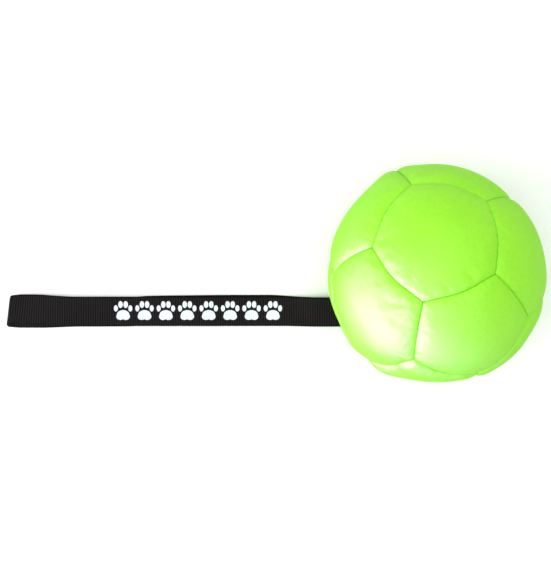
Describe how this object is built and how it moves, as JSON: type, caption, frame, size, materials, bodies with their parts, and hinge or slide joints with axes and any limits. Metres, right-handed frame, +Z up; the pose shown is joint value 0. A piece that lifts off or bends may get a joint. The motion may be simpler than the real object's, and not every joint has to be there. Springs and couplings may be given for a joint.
{
  "type": "training bumper",
  "caption": "Soft stuffed fabric ball of sewn pentagon panels with a folded webbing hand loop sewn into one seam, for throwing, tug and retrieve training.",
  "frame": {"origin": "on the floor, straight under the middle of the ball", "axes": "+Z up; the handle lies on the floor and points towards -X; +Y is across the handle, to the back"},
  "size_m": [0.3515, 0.1386, 0.1357],
  "materials": {
    "panel_fabric": "matte foam-backed softshell in neon green",
    "seam_thread": "polyester sewing thread in green",
    "polyester_fibre": "loose white polyester fibre",
    "webbing": "ribbed black nylon webbing with a slight sheen",
    "tack_thread": "heavy black bonded thread"
  },
  "bodies": {
    "ball": {"crown_panel": "panel_fabric", "upper_left_back_panel": "panel_fabric", "upper_left_front_panel": "panel_fabric", "upper_front_panel": "panel_fabric", "upper_right_panel": "panel_fabric", "upper_back_panel": "panel_fabric", "base_panel": "panel_fabric", "lower_left_panel": "panel_fabric", "lower_back_panel": "panel_fabric", "lower_right_back_panel": "panel_fabric", "lower_right_front_panel": "panel_fabric", "lower_front_panel": "panel_fabric", "fibre_stuffing": "polyester_fibre", "seam_threads": "seam_thread", "closing_stitch": "seam_thread", "handle_root": "webbing", "handle_tack_stitches": "tack_thread"},
    "neck": {"handle_neck": "webbing"},
    "shank": {"handle_shank": "webbing"},
    "throat": {"loop_throat": "webbing"},
    "top_near": {"loop_top_near": "webbing"},
    "top_far": {"loop_top_far": "webbing"},
    "fold": {"loop_fold": "webbing"},
    "bottom_far": {"loop_bottom_far": "webbing"},
    "bottom_near": {"loop_bottom_near": "webbing"}
  },
  "joints": [
    {"name": "handle_swing", "type": "hinge", "parent": "ball", "child": "neck", "pos_m": [-0.03378, -0.0253, 0.00767], "axis": [0, 1, 0], "range_deg": [-90, 40]},
    {"name": "handle_twist", "type": "hinge", "parent": "neck", "child": "shank", "pos_m": [-0.072, -0.0253, 0.00185], "axis": [-1, 0, 0], "range_deg": [-90, 90]},
    {"name": "handle_bend", "type": "hinge", "parent": "shank", "child": "throat", "pos_m": [-0.11, -0.0253, 0.00185], "axis": [0, 1, 0], "range_deg": [-90, 50]},
    {"name": "loop_open", "type": "hinge", "parent": "throat", "child": "top_near", "pos_m": [-0.12, -0.0253, 0.00265], "axis": [0, 1, 0], "range_deg": [0, 35]},
    {"name": "loop_top_crease", "type": "hinge", "parent": "top_near", "child": "top_far", "pos_m": [-0.198, -0.0253, 0.00265], "axis": [0, 1, 0], "range_deg": [-70, 0]},
    {"name": "loop_fold_top", "type": "hinge", "parent": "top_far", "child": "fold", "pos_m": [-0.276, -0.0253, 0.00265], "axis": [0, 1, 0], "range_deg": [0, 35]},
    {"name": "loop_fold_bottom", "type": "hinge", "parent": "fold", "child": "bottom_far", "pos_m": [-0.276, -0.0253, 0.00105], "axis": [0, 1, 0], "range_deg": [0, 35]},
    {"name": "loop_bottom_crease", "type": "hinge", "parent": "bottom_far", "child": "bottom_near", "pos_m": [-0.198, -0.0253, 0.00105], "axis": [0, 1, 0], "range_deg": [-70, 0]}
  ],
  "couplings": [
    {"joint": "loop_top_crease", "follows": "loop_open", "ratio": -2},
    {"joint": "loop_fold_top", "follows": "loop_open", "ratio": 1},
    {"joint": "loop_fold_bottom", "follows": "loop_open", "ratio": 1},
    {"joint": "loop_bottom_crease", "follows": "loop_open", "ratio": -2}
  ]
}
